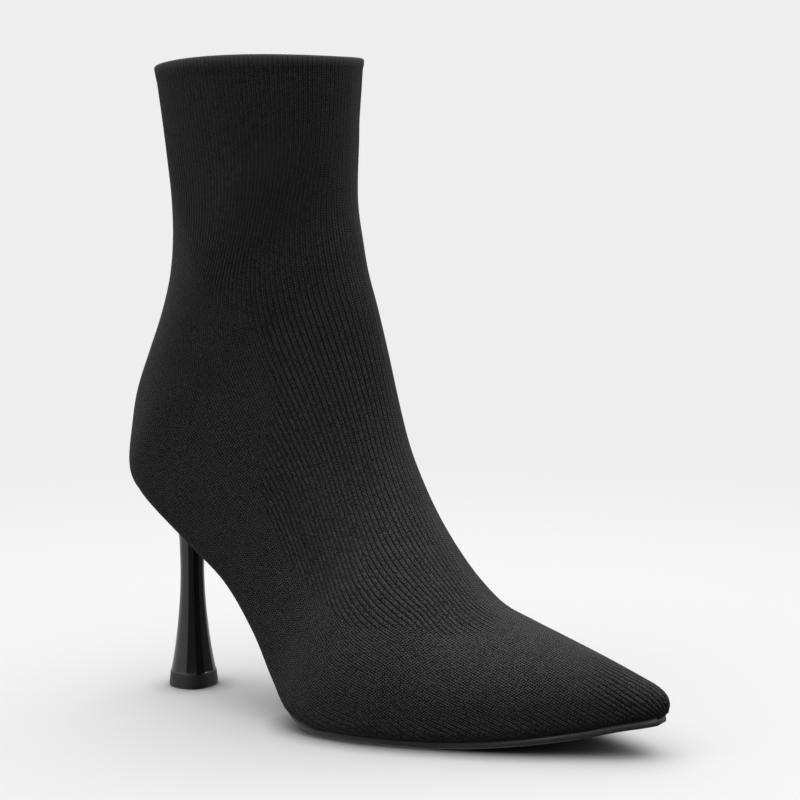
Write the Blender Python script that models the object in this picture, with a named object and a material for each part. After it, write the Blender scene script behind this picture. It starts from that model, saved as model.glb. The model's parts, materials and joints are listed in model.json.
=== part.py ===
"""Sock boot for the right foot: a knitted upper on a pointed last, with a flared high heel.

The toe points along +X, the medial side is +Y and up is +Z.
The origin is the centre of the heel tip's underside, on the floor.
Every section of the boot lies in a plane through its low point and its high point.
The section planes fan out from upright at the toe to level at the collar.
"""
import math
from collections import namedtuple

import bmesh
import bpy
import numpy as np

# Sizes in metres. FOOT_LENGTH runs from the back of the heel to the tip of the toe.
FOOT_LENGTH = 0.2406
HEEL_SETBACK = 0.0242
HEEL_HEIGHT = 0.0820
TOE_SPRING = 0.0147
BALL_WIDTH = 0.0817
VAMP_HEIGHT = 0.0475
SHAFT_HEIGHT = 0.1740
SHAFT_FORWARD = 0.0384
ANKLE_DEPTH = 0.0798
ANKLE_WIDTH = 0.0590
COLLAR_DEPTH = 0.0888
COLLAR_WIDTH = 0.0656
COLLAR_ARCH = 0.0020
WALL = 0.0018
RIM_ROUND = 0.0005
SOLE_THICKNESS = 0.0022
SEAT_THICKNESS = 0.0011
INSOLE_THICKNESS = 0.0026
GAP = 0.0003
HEEL_TIP_WIDTH = 0.0202
HEEL_WAIST_WIDTH = 0.0097
HEEL_TOP_LENGTH = 0.0262
HEEL_TOP_WIDTH = 0.0260
TIP_HEIGHT = 0.0058

FEATHER_HEIGHT = SOLE_THICKNESS + GAP
HEEL_RISE = HEEL_HEIGHT - FEATHER_HEIGHT
CLIMB_HEIGHT = HEEL_HEIGHT + SHAFT_HEIGHT - FEATHER_HEIGHT - VAMP_HEIGHT

# Sections of the foot, from the toe back to the seat.
# low and high: how far along the foot the two ends of the section are, from the back of the heel.
# lift: height of the low end, a share of the heel's rise. spring: the same for the toe spring.
# vamp and climb: height of the high end, shares of the vamp's height and of the climb to the collar.
# lateral and medial: half widths, shares of the ball width. widest: where they are, a share of the height.
# square: how square the underside's edges are. turned: how far out the underside is open.
FootRow = namedtuple("FootRow", "low high lift spring vamp climb lateral medial widest square turned")
FOOT = [
    FootRow(0.9958, 1.0000, 0.000, 1.00, 0.389, 0.000, 0.012, 0.012, 0.50, 2.2, 0.60),
    FootRow(0.9900, 0.9917, 0.000, 0.90, 0.451, 0.000, 0.048, 0.048, 0.48, 2.8, 0.64),
    FootRow(0.9729, 0.9729, 0.000, 0.82, 0.507, 0.000, 0.088, 0.088, 0.46, 4.0, 0.68),
    FootRow(0.9335, 0.9355, 0.000, 0.69, 0.571, 0.000, 0.148, 0.146, 0.44, 5.5, 0.72),
    FootRow(0.8711, 0.8753, 0.000, 0.44, 0.674, 0.000, 0.230, 0.224, 0.40, 7.0, 0.75),
    FootRow(0.7922, 0.8046, 0.000, 0.215, 0.788, 0.000, 0.334, 0.308, 0.35, 8.0, 0.77),
    FootRow(0.7090, 0.7402, 0.000, 0.06, 0.893, 0.000, 0.422, 0.380, 0.30, 8.5, 0.78),
    FootRow(0.6259, 0.6862, 0.000, 0.00, 1.000, 0.000, 0.494, 0.425, 0.26, 9.0, 0.78),
    FootRow(0.5428, 0.6438, 0.000, 0.00, 1.000, 0.045, 0.548, 0.438, 0.23, 9.0, 0.78),
    FootRow(0.4660, 0.6072, 0.000, 0.00, 1.000, 0.101, 0.552, 0.428, 0.21, 9.0, 0.78),
    FootRow(0.4080, 0.5744, 0.040, 0.00, 1.000, 0.163, 0.514, 0.402, 0.20, 8.5, 0.78),
    FootRow(0.3610, 0.5470, 0.172, 0.00, 1.000, 0.226, 0.444, 0.382, 0.19, 8.0, 0.78),
    FootRow(0.3118, 0.5241, 0.386, 0.00, 1.000, 0.291, 0.404, 0.370, 0.19, 7.0, 0.77),
    FootRow(0.2480, 0.5062, 0.602, 0.00, 1.000, 0.369, 0.380, 0.362, 0.20, 6.0, 0.76),
    FootRow(0.1720, 0.4888, 0.771, 0.00, 1.000, 0.456, 0.369, 0.360, 0.22, 6.2, 0.74),
    FootRow(0.0915, 0.4688, 0.938, 0.00, 1.000, 0.544, 0.366, 0.360, 0.27, 5.6, 0.70),
    FootRow(0.0440, 0.4497, 1.033, 0.00, 1.000, 0.616, 0.367, 0.363, 0.33, 4.2, 0.60),
]
# Sections of the shaft, from the back of the heel up to the collar.
# rear and fore: how far the ends are from the shaft's axis, shares of half the ankle's depth.
# up and climb: heights of the two ends. flare: how much of the collar's extra size is reached.
# girth: the half widths, a share of half the ankle's width.
ShaftRow = namedtuple("ShaftRow", "rear up fore climb girth flare widest square turned")
SHAFT = [
    ShaftRow(1.468, 0.052, 1.078, 0.675, 1.030, 0.00, 0.38, 3.0, 0.44),
    ShaftRow(1.532, 0.113, 1.035, 0.718, 1.022, 0.00, 0.42, 2.3, 0.30),
    ShaftRow(1.509, 0.207, 1.012, 0.752, 1.010, 0.00, 0.45, 2.0, 0.20),
    ShaftRow(1.353, 0.299, 1.002, 0.782, 1.003, 0.00, 0.47, 2.0, 0.17),
    ShaftRow(1.185, 0.391, 0.998, 0.811, 1.000, 0.00, 0.48, 2.0, 0.17),
    ShaftRow(1.055, 0.489, 0.998, 0.840, 1.000, 0.00, 0.49, 2.0, 0.17),
    ShaftRow(1.002, 0.586, 1.000, 0.869, 1.000, 0.02, 0.50, 2.0, 0.17),
    ShaftRow(1.000, 0.684, 1.000, 0.898, 1.000, 0.08, 0.50, 2.0, 0.17),
    ShaftRow(1.000, 0.776, 1.000, 0.927, 1.000, 0.31, 0.50, 2.0, 0.17),
    ShaftRow(1.000, 0.874, 1.000, 0.956, 1.000, 0.60, 0.50, 2.0, 0.17),
    ShaftRow(1.000, 0.990, 1.000, 1.008, 1.000, 1.00, 0.50, 2.0, 0.17),
]
# The heel below its waist: height as a share of the seat's height, width between waist and tip.
HeelRow = namedtuple("HeelRow", "height width")
HEEL = [
    HeelRow(0.020, 0.870),
    HeelRow(0.095, 0.660),
    HeelRow(0.200, 0.420),
    HeelRow(0.330, 0.210),
    HeelRow(0.460, 0.070),
    HeelRow(0.590, 0.000),
    HeelRow(0.690, 0.030),
]

REAR_FLARE = 0.83
SIDE_COLUMNS = 17
COLUMNS = 2 * SIDE_COLUMNS + 2
INNER_START = 4
OPEN_FIRST = 7
OPEN_LAST = 27
SOLE_FIRST = 2
SOLE_LAST = 29
HEEL_SIDES = 28


def foot_station(row):
    """Low point, high point, half widths and section character of one foot row."""
    return [
        row.low * FOOT_LENGTH - HEEL_SETBACK,
        FEATHER_HEIGHT + row.lift * HEEL_RISE + row.spring * TOE_SPRING,
        row.high * FOOT_LENGTH - HEEL_SETBACK,
        FEATHER_HEIGHT + row.vamp * VAMP_HEIGHT + row.climb * CLIMB_HEIGHT,
        row.lateral * BALL_WIDTH,
        row.medial * BALL_WIDTH,
        row.widest,
        row.square,
        row.turned,
    ]


def shaft_station(row):
    """The same for one shaft row."""
    extra = row.flare * (COLLAR_DEPTH - ANKLE_DEPTH)
    half_width = (row.girth * ANKLE_WIDTH + row.flare * (COLLAR_WIDTH - ANKLE_WIDTH)) / 2
    return [
        SHAFT_FORWARD - row.rear * ANKLE_DEPTH / 2 - extra * REAR_FLARE,
        HEEL_HEIGHT + row.up * SHAFT_HEIGHT,
        SHAFT_FORWARD + row.fore * ANKLE_DEPTH / 2 + extra * (1 - REAR_FLARE),
        FEATHER_HEIGHT + VAMP_HEIGHT + row.climb * CLIMB_HEIGHT,
        half_width,
        half_width,
        row.widest,
        row.square,
        row.turned,
    ]


TABLE = np.array([foot_station(row) for row in FOOT] + [shaft_station(row) for row in SHAFT])
LAST = len(TABLE) - 1


def station(where):
    """The section numbers at a place along the table, smooth between its rows."""
    k = min(max(int(where), 0), LAST - 1)
    t = where - k
    here, there = TABLE[k], TABLE[k + 1]
    before = (there - TABLE[k - 1]) / 2 if k > 0 else there - here
    after = (TABLE[k + 2] - here) / 2 if k + 2 <= LAST else there - here
    mix = ((1 + 2 * t) * (1 - t) ** 2 * here + t * (1 - t) ** 2 * before
           + t * t * (3 - 2 * t) * there + t * t * (t - 1) * after)
    mix[1] = max(mix[1], FEATHER_HEIGHT)
    return mix


def upright(numbers):
    """Unit direction from the low point to the high point, and their distance."""
    span = np.array([numbers[2] - numbers[0], numbers[3] - numbers[1]])
    length = math.hypot(*span)
    return span / length, length


def under_normal(where):
    """Unit direction out of the underside, in the centre plane."""
    ahead = station(max(where - 0.1, 0))
    behind = station(min(where + 0.1, LAST))
    run = ahead[:2] - behind[:2]
    return np.array([run[1], -run[0]]) / math.hypot(*run)


def under_height(numbers, y):
    """How far the underside has curved up from the low point at y, along the section."""
    half = numbers[4] if y < 0 else numbers[5]
    rise = numbers[6] * upright(numbers)[1]
    share = min(abs(y) / half, 1.0)
    return rise * (1 - (1 - share ** numbers[7]) ** (1 / numbers[7]))


def under_tilt(numbers, y):
    """How steeply the underside rises at y, as rise over run."""
    near, far = abs(y), abs(y) + 0.0001
    sign = -1 if y < 0 else 1
    return (under_height(numbers, sign * far) - under_height(numbers, sign * near)) / 0.0001


def side_curve(numbers, half):
    """One side of a section as distances out and up, spaced closer where it turns."""
    length = upright(numbers)[1]
    rise = numbers[6] * length
    angle = np.linspace(0, math.pi / 2, 161)
    low_out = half * np.sin(angle) ** (2 / numbers[7])
    low_up = rise - rise * np.cos(angle) ** (2 / numbers[7])
    out = np.concatenate([low_out, half * np.cos(angle[1:])])
    up = np.concatenate([low_up, rise + (length - rise) * np.sin(angle[1:])])
    step = np.hypot(np.diff(out), np.diff(up))
    heading = np.unwrap(np.arctan2(np.diff(up), np.diff(out)))
    turn = np.concatenate([[0], np.abs(np.diff(heading))])
    travel = np.concatenate([[0], np.cumsum(0.6 * step / step.sum() + 0.4 * turn / turn.sum())])
    edge = np.interp(numbers[8] * half, low_out, travel[:161])
    corner = np.interp(min(numbers[8] * 2, numbers[8] + 0.14) * half, low_out, travel[:161])
    picked = np.append(edge, corner + (1 - corner) * np.linspace(0, 1, SIDE_COLUMNS)[:-1])
    return np.interp(picked, travel, out), np.interp(picked, travel, up)


def section(where):
    """Closed loop of points: low point, lateral side, high point, medial side."""
    numbers = station(where)
    (along, rise), length = upright(numbers)
    lateral_out, lateral_up = side_curve(numbers, numbers[4])
    medial_out, medial_up = side_curve(numbers, numbers[5])
    across = np.concatenate([[0], -lateral_out, [0], medial_out[::-1]])
    up = np.concatenate([[0], lateral_up, [length], medial_up[::-1]])
    arch = COLLAR_ARCH * max(0.0, 1 - (LAST - where) / 3) ** 2 * (across / numbers[4]) ** 2
    return np.stack([numbers[0] + along * up, across, numbers[1] + rise * up + arch * (across < 0)], axis=1)


# Closer rows where the arch turns into the ball.
WHERE = np.concatenate([np.linspace(0, 8, 12, False), np.linspace(8, 12, 10, False),
                        np.linspace(12, 18, 10, False), np.linspace(18, LAST, 13)])
ROWS = len(WHERE)
OUTER = np.array([section(where) for where in WHERE])


def inward(grid):
    """Unit normals of the grid, pointing to the inside of the boot."""
    along = np.gradient(grid, axis=0)
    around = np.roll(grid, -1, axis=1) - np.roll(grid, 1, axis=1)
    normal = np.cross(around, along)
    normal /= np.linalg.norm(normal, axis=2)[:, :, None]
    middle = grid.mean(axis=1, keepdims=True)
    facing = np.sign(np.sum(normal * (middle - grid), axis=2).mean())
    return normal * facing


INWARD = inward(OUTER)
INNER = OUTER + WALL * INWARD


def make_object(name, mesh_data, material):
    """Weld, orient and smooth one closed body."""
    bmesh.ops.remove_doubles(mesh_data, verts=mesh_data.verts, dist=1e-7)
    bmesh.ops.recalc_face_normals(mesh_data, faces=mesh_data.faces)
    if mesh_data.calc_volume(signed=True) < 0:
        bmesh.ops.reverse_faces(mesh_data, faces=mesh_data.faces)
    mesh = bpy.data.meshes.new(name)
    mesh_data.to_mesh(mesh)
    mesh_data.free()
    for polygon in mesh.polygons:
        polygon.use_smooth = True
    mesh.materials.append(material)
    made = bpy.data.objects.new(name, mesh)
    bpy.context.scene.collection.objects.link(made)
    return made


def make_material(name, colour, roughness):
    """A plain surface."""
    material = bpy.data.materials.new(name)
    material.use_nodes = True
    shader = material.node_tree.nodes["Principled BSDF"]
    shader.inputs["Base Color"].default_value = (*colour, 1)
    shader.inputs["Roughness"].default_value = roughness
    return material


def skin(mesh_data, rings, closed=True):
    """Join rows of vertices with quads."""
    for low, high in zip(rings[:-1], rings[1:]):
        count = len(low)
        for k in range(count if closed else count - 1):
            n = (k + 1) % count
            mesh_data.faces.new((low[k], low[n], high[n], high[k]))


def fan(mesh_data, ring, tip):
    """Close a ring with triangles to one vertex."""
    for k in range(len(ring)):
        mesh_data.faces.new((ring[k], ring[(k + 1) % len(ring)], tip))


def is_open(row, column):
    """Whether the quad after this row and column is left out for the underside's opening."""
    return OPEN_FIRST <= row < OPEN_LAST and column in (0, COLUMNS - 1)


def build_upper(material):
    """The knitted upper: one hollow wall, open at the collar and underneath."""
    body = bmesh.new()
    inside_row = range(OPEN_FIRST + 1, OPEN_LAST)
    walls = []
    for grid, first in ((OUTER, 0), (INNER, INNER_START)):
        rings = {}
        for row in range(first, ROWS):
            rings[row] = [None if column == 0 and row in inside_row else body.verts.new(grid[row][column])
                          for column in range(COLUMNS)]
        for row in range(first, ROWS - 1):
            for column in range(COLUMNS):
                if not is_open(row, column):
                    n = (column + 1) % COLUMNS
                    body.faces.new((rings[row][column], rings[row][n], rings[row + 1][n], rings[row + 1][column]))
        reach = 0.0006 if first == 0 else WALL / 2
        tip = grid[first].mean(axis=0) + np.array([reach, 0, 0])
        fan(body, rings[first], body.verts.new(tip))
        walls.append(rings)
    outer, inner = walls
    edge = [(OPEN_FIRST, 0)] + [(row, 1) for row in range(OPEN_FIRST, OPEN_LAST + 1)] + [(OPEN_LAST, 0)]
    edge += [(row, COLUMNS - 1) for row in range(OPEN_LAST, OPEN_FIRST - 1, -1)]
    skin(body, [[outer[row][column] for row, column in edge], [inner[row][column] for row, column in edge]])
    rim = (OUTER[-1] + INNER[-1]) / 2 + np.array([0, 0, RIM_ROUND])
    crest = [body.verts.new(point) for point in rim]
    skin(body, [outer[ROWS - 1], crest, inner[ROWS - 1]])
    return make_object("upper", body, material)


def under_point(where, y, outward):
    """A point off the underside: at y across, moved out of the boot by a distance."""
    numbers = station(where)
    (along, rise), _ = upright(numbers)
    up = under_height(numbers, y)
    outward *= math.hypot(1, under_tilt(numbers, y))
    normal = under_normal(where)
    return (numbers[0] + along * up + normal[0] * outward, y, numbers[1] + rise * up + normal[1] * outward)


def underside_row(row, depth, cover=1.0):
    """Points across the underside of one row, moved into the boot by a depth (out of it if negative)."""
    medial, near_medial, centre, near_lateral, lateral = [
        OUTER[row][column] + depth * INWARD[row][column] for column in (-2, -1, 0, 1, 2)]
    medial = near_medial + cover * (medial - near_medial)
    lateral = near_lateral + cover * (lateral - near_lateral)
    return [medial, near_medial, (near_medial + centre) / 2, centre, (centre + near_lateral) / 2, near_lateral, lateral]


def build_slab(name, tops, bottoms, material):
    """A thin piece from rows of points above and below."""
    body = bmesh.new()
    rings = []
    for top, bottom in zip(tops, bottoms):
        rings.append([body.verts.new(point) for point in top + bottom[::-1]])
    skin(body, rings)
    for end in (rings[0], rings[-1]):
        half = len(end) // 2
        for k in range(half - 1):
            body.faces.new((end[k], end[k + 1], end[-2 - k], end[-1 - k]))
    return make_object(name, body, material)


def sole_depth(where):
    """The outsole's thickness, full under the forefoot and thin under the arch and the seat."""
    return SOLE_THICKNESS + (SEAT_THICKNESS - SOLE_THICKNESS) * min(max((where - 9.6) / 1.6, 0), 1)


def sole_top_row(row):
    """Points across the top of the outsole, which draws in under the arch and the seat."""
    return underside_row(row, -GAP, 1 - 0.9 * min(max((WHERE[row] - 9) / 2, 0), 1))


def tread_row(row):
    """Points across the outsole's tread: flat on the floor under the ball, curved under the seat."""
    where = WHERE[row]
    numbers = station(where)
    (along, rise), _ = upright(numbers)
    normal = under_normal(where) * (GAP + sole_depth(where))
    follow = min(max((where - 9) / 3, 0), 1)
    points = []
    for top in sole_top_row(row):
        up = follow * under_height(numbers, top[1])
        height = numbers[1] + rise * up + normal[1]
        height = 0.0 if height < 0.00025 else height
        points.append(np.array([numbers[0] + along * up + normal[0], top[1] * 0.985, height]))
    return points


def build_outsole(material):
    """The outsole, from the toe back to the seat."""
    rows = range(SOLE_FIRST, SOLE_LAST + 1)
    return build_slab("outsole", [sole_top_row(row) for row in rows], [tread_row(row) for row in rows], material)


def build_insole(material):
    """The insole, lying on the turned-in edge of the upper."""
    rows = range(OPEN_FIRST, OPEN_LAST + 2)
    depth = WALL + GAP
    bottoms = [underside_row(row, depth) for row in rows]
    tops = [underside_row(row, depth + INSOLE_THICKNESS) for row in rows]
    return build_slab("insole", tops, bottoms, material)


def heel_ring(height, width, centre=0.0):
    """A level ring of the heel: round at the back, flatter at the breast."""
    ring = []
    for k in range(HEEL_SIDES):
        angle = 2 * math.pi * k / HEEL_SIDES
        c, s = math.cos(angle), math.sin(angle)
        power = 2 / 2.6 if c > 0 else 1.0
        out = math.copysign(abs(c) ** power, c) * (0.94 if c > 0 else 1.0)
        ring.append(np.array([centre + out * width / 2, math.copysign(abs(s) ** power, s) * width / 2, height]))
    return ring



def seat_where(x):
    """The place along the table whose low point has this x, on the seat."""
    low, high = 12.0, 16.5
    for _ in range(40):
        middle = (low + high) / 2
        if station(middle)[0] > x:
            low = middle
        else:
            high = middle
    return low


def heel_top(share, angle):
    """A point of the heel's top, which follows the outsole under the seat with a fine gap."""
    c, s = math.cos(angle), math.sin(angle)
    x = -0.0010 + share * c * HEEL_TOP_LENGTH * (0.38 if c > 0 else 0.62)
    y = share * s * HEEL_TOP_WIDTH / 2
    return np.array(under_point(seat_where(x), y, GAP + SEAT_THICKNESS + GAP))


def build_heel(material):
    """The heel: slim at the waist, spreading under the seat and down to its tip."""
    body = bmesh.new()
    rings = []
    bottom = heel_ring(TIP_HEIGHT + GAP, HEEL_WAIST_WIDTH + HEEL[0].width * (HEEL_TIP_WIDTH - HEEL_WAIST_WIDTH))
    rings.append(bottom)
    for row in HEEL[1:]:
        width = HEEL_WAIST_WIDTH + row.width * (HEEL_TIP_WIDTH - HEEL_WAIST_WIDTH)
        rings.append(heel_ring(row.height * HEEL_HEIGHT, width))
    waist = rings[-1]
    angles = [2 * math.pi * k / HEEL_SIDES for k in range(HEEL_SIDES)]
    crown = [heel_top(1.0, angle) for angle in angles]
    for share in (0.25, 0.5, 0.7, 0.85, 0.95):
        spread = share ** 2.6
        rings.append([np.array([low[0] + (high[0] - low[0]) * spread, low[1] + (high[1] - low[1]) * spread,
                                low[2] + (high[2] - low[2]) * share]) for low, high in zip(waist, crown)])
    rings.append(crown)
    for share in (0.7, 0.35):
        rings.append([heel_top(share, angle) for angle in angles])
    placed = [[body.verts.new(point) for point in ring] for ring in rings]
    skin(body, placed)
    fan(body, placed[0], body.verts.new((0, 0, TIP_HEIGHT + GAP)))
    fan(body, placed[-1], body.verts.new(heel_top(0.0, 0.0)))
    return make_object("heel", body, material)


def build_top_piece(material):
    """The wearing tip under the heel, flat on the floor."""
    body = bmesh.new()
    top_width = HEEL_WAIST_WIDTH + HEEL[0].width * (HEEL_TIP_WIDTH - HEEL_WAIST_WIDTH)
    rings = [
        heel_ring(0.0, HEEL_TIP_WIDTH * 0.88),
        heel_ring(0.0006, HEEL_TIP_WIDTH * 0.96),
        heel_ring(0.0018, HEEL_TIP_WIDTH * 0.995),
        heel_ring(0.0030, HEEL_TIP_WIDTH),
        heel_ring(TIP_HEIGHT - 0.0003, top_width + 0.0001),
        heel_ring(TIP_HEIGHT, top_width - 0.0003),
    ]
    placed = [[body.verts.new(point) for point in ring] for ring in rings]
    skin(body, placed)
    fan(body, placed[0], body.verts.new((0, 0, 0)))
    fan(body, placed[-1], body.verts.new((0, 0, TIP_HEIGHT)))
    return make_object("top_piece", body, material)


for item in list(bpy.data.objects):
    bpy.data.objects.remove(item)

knit = make_material("knit", (0.020, 0.020, 0.021), 0.85)
lining = make_material("lining", (0.030, 0.029, 0.028), 0.80)
sole_rubber = make_material("sole_rubber", (0.035, 0.035, 0.036), 0.55)
heel_gloss = make_material("heel_gloss", (0.012, 0.012, 0.013), 0.12)
tip_rubber = make_material("tip_rubber", (0.022, 0.022, 0.022), 0.60)

build_upper(knit)
build_insole(lining)
build_outsole(sole_rubber)
build_heel(heel_gloss)
build_top_piece(tip_rubber)
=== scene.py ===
# Sock boot for the right foot: the looks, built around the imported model.
# Ribbed knit upper with a rolled collar, woven lining, thin outsole and a lacquered flared heel.
# Metres, +X to the toe, +Y medial, +Z up, origin under the centre of the heel's tip.
import json
import math
import time

import bmesh
import bpy
import numpy as np
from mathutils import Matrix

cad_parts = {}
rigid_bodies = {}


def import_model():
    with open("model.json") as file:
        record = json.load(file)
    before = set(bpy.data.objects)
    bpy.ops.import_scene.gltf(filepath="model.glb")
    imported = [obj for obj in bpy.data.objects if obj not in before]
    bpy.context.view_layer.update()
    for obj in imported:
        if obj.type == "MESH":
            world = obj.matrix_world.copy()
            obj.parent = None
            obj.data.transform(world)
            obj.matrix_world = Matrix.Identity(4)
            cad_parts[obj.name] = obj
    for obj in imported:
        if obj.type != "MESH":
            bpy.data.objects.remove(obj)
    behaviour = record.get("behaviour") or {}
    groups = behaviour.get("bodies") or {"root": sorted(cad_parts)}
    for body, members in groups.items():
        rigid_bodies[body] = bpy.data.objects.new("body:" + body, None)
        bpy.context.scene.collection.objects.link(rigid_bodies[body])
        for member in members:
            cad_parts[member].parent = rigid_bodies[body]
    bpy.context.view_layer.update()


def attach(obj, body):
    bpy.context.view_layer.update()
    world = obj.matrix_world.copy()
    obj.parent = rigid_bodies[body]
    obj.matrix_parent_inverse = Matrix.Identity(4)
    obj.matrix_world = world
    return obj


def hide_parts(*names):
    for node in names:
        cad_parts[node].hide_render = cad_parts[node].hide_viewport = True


startTime = time.time()
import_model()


def report(stage):
    print(f"[sock boot] {stage}, {time.time() - startTime:.1f} s")


report("packed model loaded")

# The last, with the same sizes as the model's.
last = {
    "footLength": 0.2406,
    "heelSetback": 0.0242,
    "heelHeight": 0.0820,
    "toeSpring": 0.0147,
    "ballWidth": 0.0817,
    "vampHeight": 0.0475,
    "shaftHeight": 0.1740,
    "shaftForward": 0.0384,
    "ankleDepth": 0.0798,
    "ankleWidth": 0.0590,
    "collarDepth": 0.0888,
    "collarWidth": 0.0656,
    "collarArch": 0.0020,
    "rearFlare": 0.83,
    "soleThickness": 0.0022,
    "seatThickness": 0.0011,
    "gap": 0.0003,
    "wall": 0.0018,
}

# Foot sections from the toe back to the seat: low and high ends along the foot, lift and spring of the low end,
# vamp and climb of the high end, lateral and medial half widths, height of the widest place,
# squareness of the underside, how far out it is open.
footRows = [
    (0.9958, 1.0000, 0.000, 1.00, 0.389, 0.000, 0.012, 0.012, 0.50, 2.2, 0.60),
    (0.9900, 0.9917, 0.000, 0.90, 0.451, 0.000, 0.048, 0.048, 0.48, 2.8, 0.64),
    (0.9729, 0.9729, 0.000, 0.82, 0.507, 0.000, 0.088, 0.088, 0.46, 4.0, 0.68),
    (0.9335, 0.9355, 0.000, 0.69, 0.571, 0.000, 0.148, 0.146, 0.44, 5.5, 0.72),
    (0.8711, 0.8753, 0.000, 0.44, 0.674, 0.000, 0.230, 0.224, 0.40, 7.0, 0.75),
    (0.7922, 0.8046, 0.000, 0.215, 0.788, 0.000, 0.334, 0.308, 0.35, 8.0, 0.77),
    (0.7090, 0.7402, 0.000, 0.06, 0.893, 0.000, 0.422, 0.380, 0.30, 8.5, 0.78),
    (0.6259, 0.6862, 0.000, 0.00, 1.000, 0.000, 0.494, 0.425, 0.26, 9.0, 0.78),
    (0.5428, 0.6438, 0.000, 0.00, 1.000, 0.045, 0.548, 0.438, 0.23, 9.0, 0.78),
    (0.4660, 0.6072, 0.000, 0.00, 1.000, 0.101, 0.552, 0.428, 0.21, 9.0, 0.78),
    (0.4080, 0.5744, 0.040, 0.00, 1.000, 0.163, 0.514, 0.402, 0.20, 8.5, 0.78),
    (0.3610, 0.5470, 0.172, 0.00, 1.000, 0.226, 0.444, 0.382, 0.19, 8.0, 0.78),
    (0.3118, 0.5241, 0.386, 0.00, 1.000, 0.291, 0.404, 0.370, 0.19, 7.0, 0.77),
    (0.2480, 0.5062, 0.602, 0.00, 1.000, 0.369, 0.380, 0.362, 0.20, 6.0, 0.76),
    (0.1720, 0.4888, 0.771, 0.00, 1.000, 0.456, 0.369, 0.360, 0.22, 6.2, 0.74),
    (0.0915, 0.4688, 0.938, 0.00, 1.000, 0.544, 0.366, 0.360, 0.27, 5.6, 0.70),
    (0.0440, 0.4497, 1.033, 0.00, 1.000, 0.616, 0.367, 0.363, 0.33, 4.2, 0.60),
]
# Shaft sections up to the collar: rear end back and up, front end forward and up, girth, share of the flare,
# height of the widest place, squareness, how far out it is open.
shaftRows = [
    (1.468, 0.052, 1.078, 0.675, 1.030, 0.00, 0.38, 3.0, 0.44),
    (1.532, 0.113, 1.035, 0.718, 1.022, 0.00, 0.42, 2.3, 0.30),
    (1.509, 0.207, 1.012, 0.752, 1.010, 0.00, 0.45, 2.0, 0.20),
    (1.353, 0.299, 1.002, 0.782, 1.003, 0.00, 0.47, 2.0, 0.17),
    (1.185, 0.391, 0.998, 0.811, 1.000, 0.00, 0.48, 2.0, 0.17),
    (1.055, 0.489, 0.998, 0.840, 1.000, 0.00, 0.49, 2.0, 0.17),
    (1.002, 0.586, 1.000, 0.869, 1.000, 0.02, 0.50, 2.0, 0.17),
    (1.000, 0.684, 1.000, 0.898, 1.000, 0.08, 0.50, 2.0, 0.17),
    (1.000, 0.776, 1.000, 0.927, 1.000, 0.31, 0.50, 2.0, 0.17),
    (1.000, 0.874, 1.000, 0.956, 1.000, 0.60, 0.50, 2.0, 0.17),
    (1.000, 0.990, 1.000, 1.008, 1.000, 1.00, 0.50, 2.0, 0.17),
]
feather = last["soleThickness"] + last["gap"]


def lastTable():
    v = last
    climbHeight = v["heelHeight"] + v["shaftHeight"] - feather - v["vampHeight"]
    rows = []
    for low, high, lift, spring, vamp, climb, lateral, medial, widest, square, turned in footRows:
        rows.append([low * v["footLength"] - v["heelSetback"],
                     feather + lift * (v["heelHeight"] - feather) + spring * v["toeSpring"],
                     high * v["footLength"] - v["heelSetback"],
                     feather + vamp * v["vampHeight"] + climb * climbHeight,
                     lateral * v["ballWidth"], medial * v["ballWidth"], widest, square, turned])
    for rear, up, fore, climb, girth, flare, widest, square, turned in shaftRows:
        extra = flare * (v["collarDepth"] - v["ankleDepth"])
        half = (girth * v["ankleWidth"] + flare * (v["collarWidth"] - v["ankleWidth"])) / 2
        rows.append([v["shaftForward"] - rear * v["ankleDepth"] / 2 - extra * v["rearFlare"],
                     v["heelHeight"] + up * v["shaftHeight"],
                     v["shaftForward"] + fore * v["ankleDepth"] / 2 + extra * (1 - v["rearFlare"]),
                     feather + v["vampHeight"] + climb * climbHeight,
                     half, half, widest, square, turned])
    return np.array(rows)


table = lastTable()
collarAt = len(table) - 1
openFrom, openTo = 4.667, 15.0  # where the underside is open, and the sole closes it


def stations(where):  # section numbers at places along the table, smooth between its rows
    where = np.atleast_1d(np.asarray(where, float))
    k = np.clip(where.astype(int), 0, collarAt - 1)
    t = (where - k)[:, None]
    here, there = table[k], table[k + 1]
    before = np.where(k[:, None] > 0, (there - table[np.maximum(k - 1, 0)]) / 2, there - here)
    after = np.where(k[:, None] + 2 <= collarAt, (table[np.minimum(k + 2, collarAt)] - here) / 2, there - here)
    mix = ((1 + 2 * t) * (1 - t) ** 2 * here + t * (1 - t) ** 2 * before
           + t * t * (3 - 2 * t) * there + t * t * (t - 1) * after)
    mix[:, 1] = np.maximum(mix[:, 1], feather)
    return mix


def halfSections(where, side, count=200):  # from the ridge down one side to the low point, for many places
    s = stations(where)
    run = s[:, 2:4] - s[:, 0:2]
    length = np.linalg.norm(run, axis=1)[:, None]
    half = (s[:, 4] if side < 0 else s[:, 5])[:, None]
    rise = s[:, 6:7] * length
    falling = np.linspace(math.pi / 2, 0, count)[None, :]
    power = 2 / s[:, 7:8]
    out = np.concatenate([half * np.cos(falling), (half * np.sin(falling) ** power)[:, 1:]], axis=1)
    up = np.concatenate([rise + (length - rise) * np.sin(falling),
                         (rise - rise * np.cos(falling) ** power)[:, 1:]], axis=1)
    points = np.empty(out.shape + (3,))
    points[..., 0] = s[:, 0:1] + run[:, 0:1] / length * up
    points[..., 1] = side * out
    points[..., 2] = s[:, 1:2] + run[:, 1:2] / length * up
    if side < 0:
        arch = last["collarArch"] * np.maximum(0, 1 - (collarAt - np.atleast_1d(where)) / 3) ** 2
        points[..., 2] += arch[:, None] * (out / half) ** 2
    return points


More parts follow.
